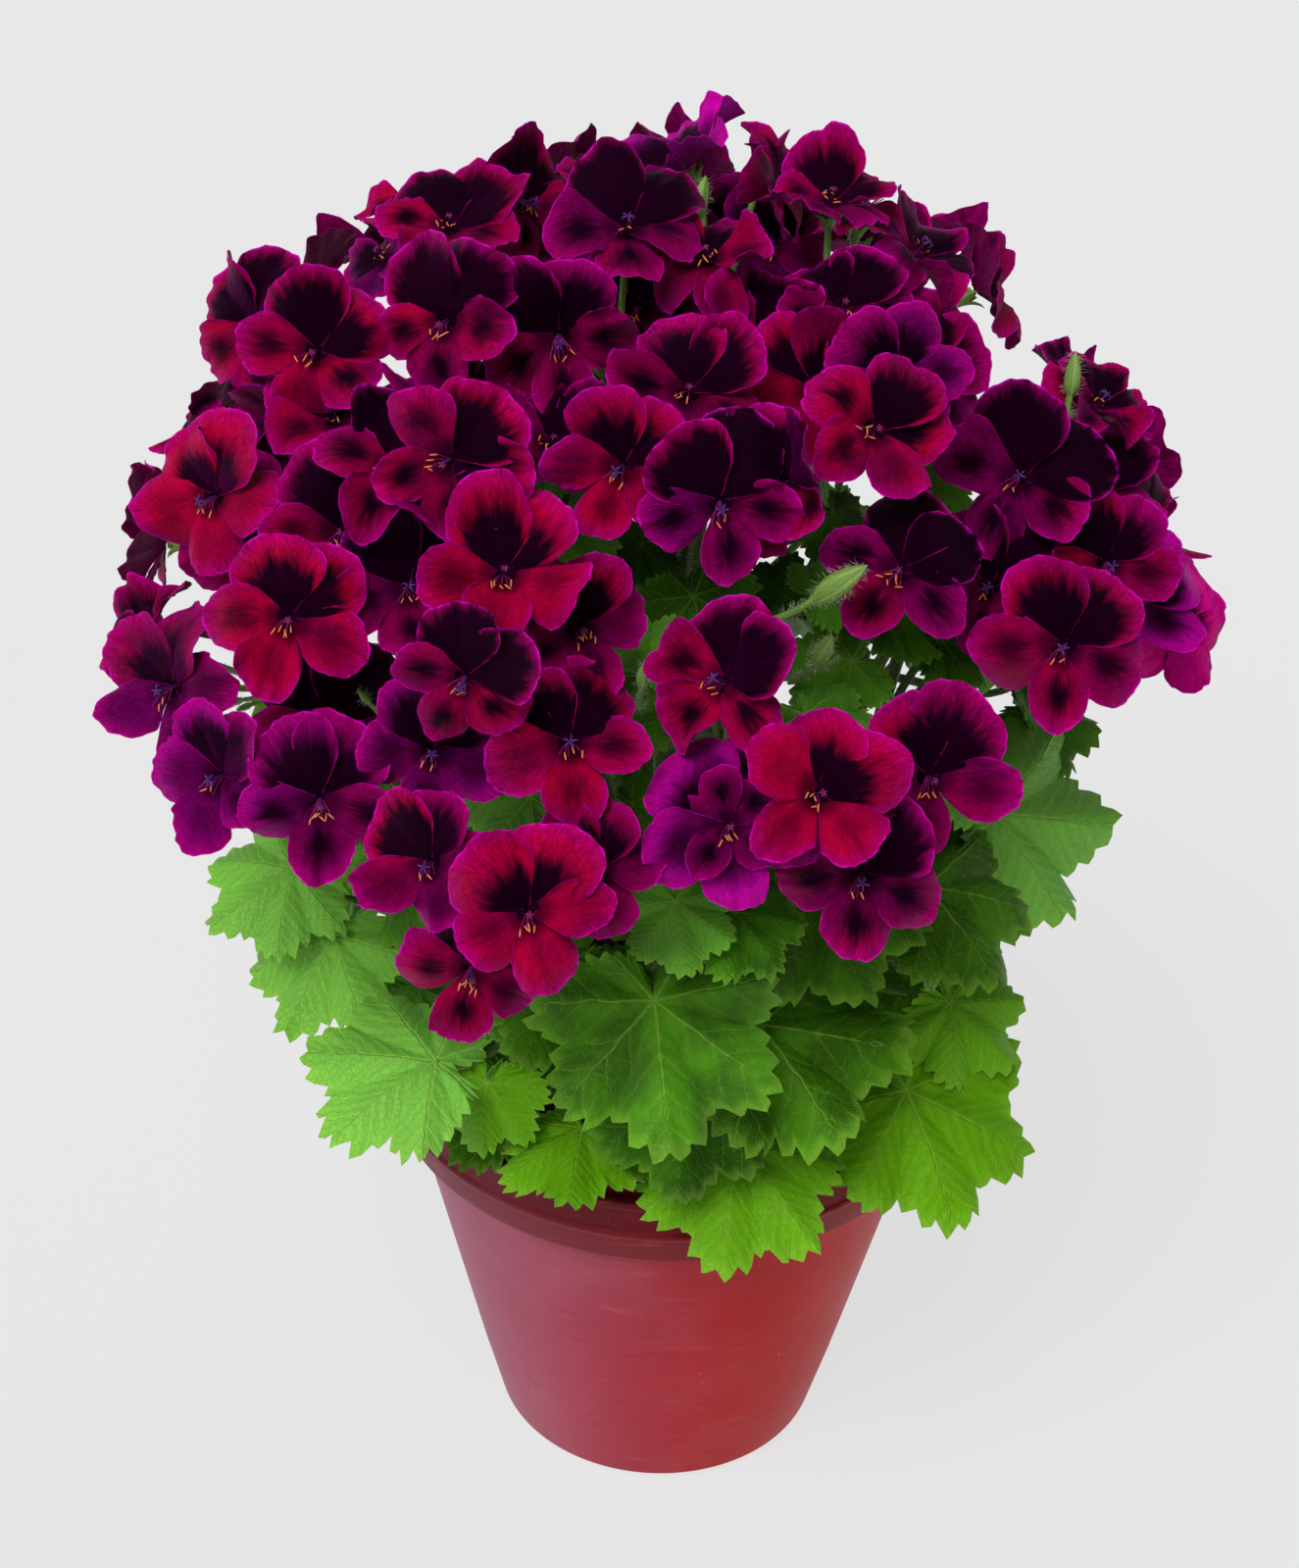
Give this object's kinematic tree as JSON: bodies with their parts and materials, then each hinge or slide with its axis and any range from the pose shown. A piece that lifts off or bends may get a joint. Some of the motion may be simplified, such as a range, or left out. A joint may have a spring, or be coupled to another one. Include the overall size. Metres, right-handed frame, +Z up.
{
  "type": "potted geranium",
  "caption": "Potted regal geranium in full flower: tapered plastic pot with a stepped rim, potting soil, leafy shoots and flower heads.",
  "frame": {"origin": "on the floor, at the centre of the underside of the pot", "axes": "+Z up along the pot's axis; -Y is the front of the plant, the side the picture shows"},
  "size_m": [0.3451, 0.3687, 0.4721],
  "materials": {
    "pot_plastic": "satin moulded plastic, terracotta red, a little dusty",
    "potting_soil": "dark crumbly potting soil",
    "foliage": "soft matt green leaf, finely hairy",
    "petals": "velvety dark crimson petal with a near-black blotch"
  },
  "bodies": {
    "root": {"pot": "pot_plastic", "soil": "potting_soil", "shoot_1": "foliage", "shoot_2": "foliage", "shoot_3": "foliage", "shoot_4": "foliage", "shoot_5": "foliage", "shoot_6": "foliage", "shoot_7": "foliage", "head_01": "petals", "head_02": "petals", "head_03": "petals", "head_04": "petals", "head_05": "petals", "head_06": "petals", "head_07": "petals", "head_08": "petals", "head_09": "petals", "head_10": "petals", "head_11": "petals", "head_12": "petals", "head_13": "petals", "head_14": "petals", "head_15": "petals", "head_16": "petals", "head_17": "petals", "head_18": "petals", "head_19": "petals", "head_20": "petals", "head_21": "petals", "head_22": "petals", "head_23": "petals", "head_24": "petals", "head_25": "petals"}
  },
  "joints": []
}
